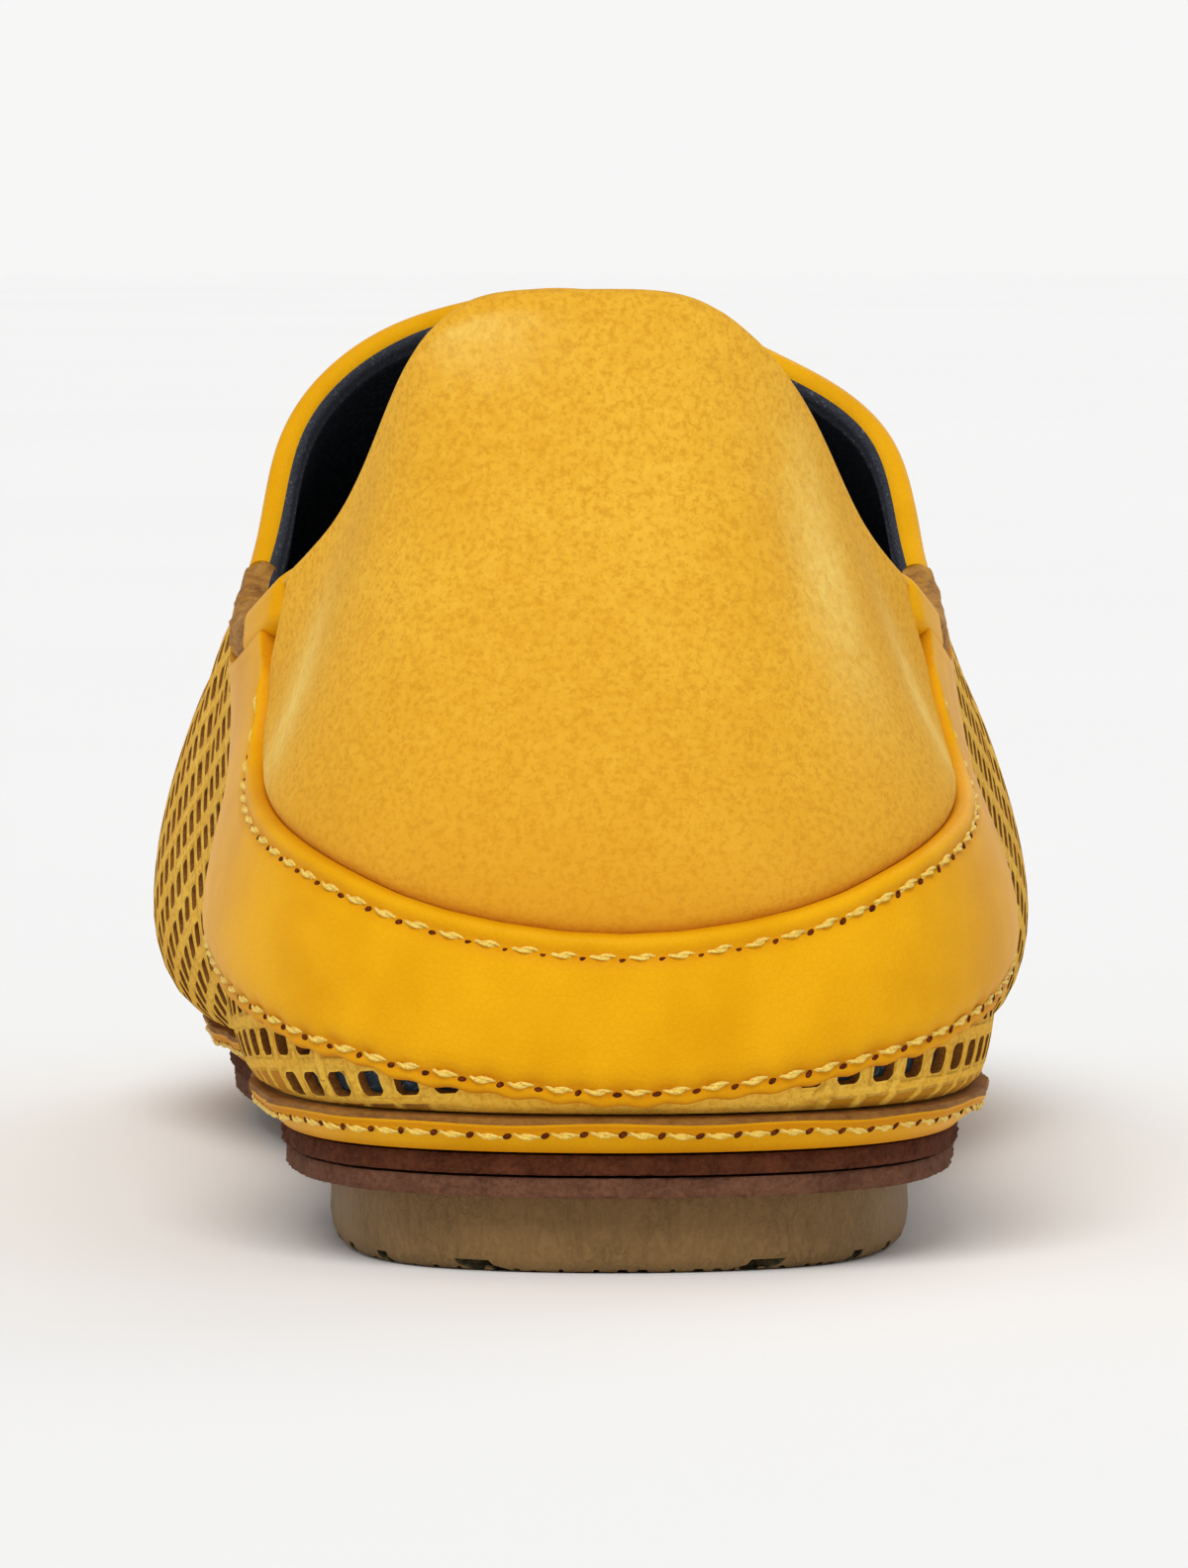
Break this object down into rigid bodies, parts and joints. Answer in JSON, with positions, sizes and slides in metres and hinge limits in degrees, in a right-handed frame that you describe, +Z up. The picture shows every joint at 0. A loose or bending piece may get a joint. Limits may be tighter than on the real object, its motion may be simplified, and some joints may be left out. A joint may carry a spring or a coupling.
{
  "type": "loafer",
  "caption": "Right-foot slip-on loafer in yellow leather with a tall step-down back, a heel foxing band, square-perforated sides, a rand, leather soles and rubber treads.",
  "frame": {"origin": "on the ground, under the middle of the shoe's box", "axes": "+Y runs from heel to toe, +X to the outer side of the right foot, +Z up"},
  "size_m": [0.1, 0.2812, 0.0978],
  "materials": {
    "nubuck": "yellow nubuck with a soft nap",
    "smooth_leather": "smooth yellow leather, slightly glossy",
    "raw_edge": "raw cut leather edge, tan and brown",
    "brown_leather": "brown sole leather with a rough cut edge",
    "lining": "near-black blue lining",
    "tan_rubber": "matt tan rubber"
  },
  "bodies": {
    "root": {"upper": "nubuck", "back_panel": "nubuck", "foxing": "smooth_leather", "throat_binding": "smooth_leather", "collar_edge_outer": "raw_edge", "collar_edge_inner": "raw_edge", "rand": "smooth_leather", "midsole": "brown_leather", "outsole": "brown_leather", "insole": "lining", "heel": "tan_rubber", "forefoot_tread": "tan_rubber"}
  },
  "joints": []
}
